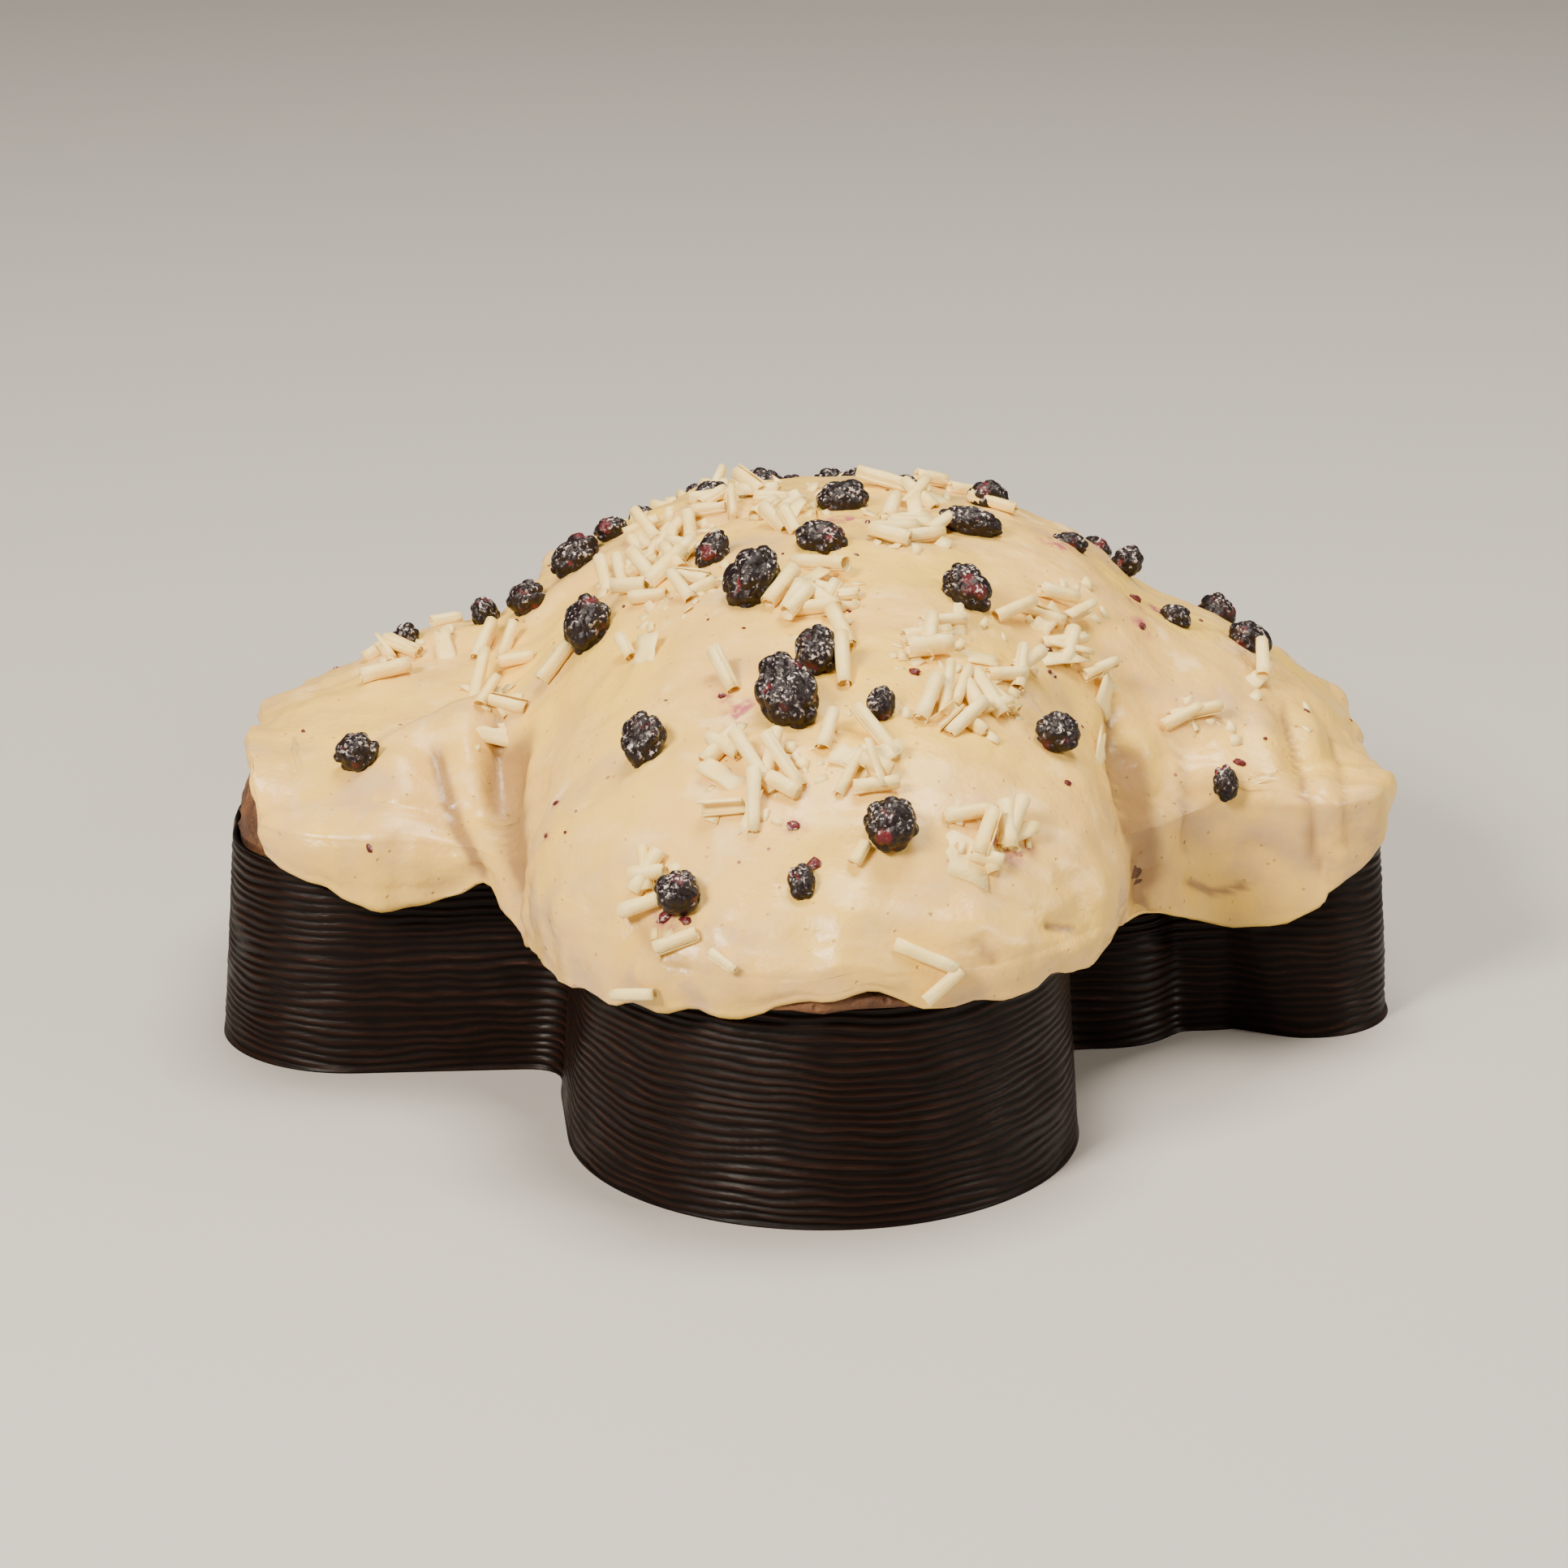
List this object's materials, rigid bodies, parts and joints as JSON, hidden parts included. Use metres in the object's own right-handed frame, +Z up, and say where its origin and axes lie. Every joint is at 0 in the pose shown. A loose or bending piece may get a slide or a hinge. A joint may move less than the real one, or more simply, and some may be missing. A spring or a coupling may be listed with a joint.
{
  "type": "iced dove-shaped cake",
  "caption": "Dove-shaped festive cake in a fluted paper case, under thick pale icing with dark berries and curls of white chocolate.",
  "frame": {"origin": "On the surface that the case stands on, midway between the two wings.", "axes": "+Z up; +Y runs along the body towards the tail, the longest way; the head lobe points along -Y and the wings lie along X."},
  "size_m": [0.2095, 0.2674, 0.0923],
  "materials": {
    "berry": "dark dried berries, dusted with sugar",
    "icing": "thick ivory icing, half glossy, with fused curls of white chocolate",
    "crumb": "browned crust of a baked dough",
    "case_paper": "dark brown fluted baking paper, lightly glossy"
  },
  "bodies": {
    "root": {"berry_01": "berry", "berry_02": "berry", "berry_03": "berry", "berry_04": "berry", "berry_05": "berry", "berry_06": "berry", "berry_07": "berry", "berry_08": "berry", "berry_09": "berry", "berry_10": "berry", "berry_11": "berry", "berry_12": "berry", "berry_13": "berry", "berry_14": "berry", "berry_15": "berry", "berry_16": "berry", "berry_17": "berry", "berry_18": "berry", "berry_19": "berry", "berry_20": "berry", "berry_21": "berry", "berry_22": "berry", "berry_23": "berry", "berry_24": "berry", "berry_25": "berry", "berry_26": "berry", "berry_27": "berry", "berry_28": "berry", "berry_29": "berry", "berry_30": "berry", "berry_31": "berry", "berry_32": "berry", "berry_33": "berry", "berry_34": "berry", "berry_35": "berry", "berry_36": "berry", "berry_37": "berry", "berry_38": "berry", "berry_39": "berry", "berry_40": "berry", "berry_41": "berry", "icing": "icing", "cake": "crumb", "paper_case": "case_paper"}
  },
  "joints": []
}
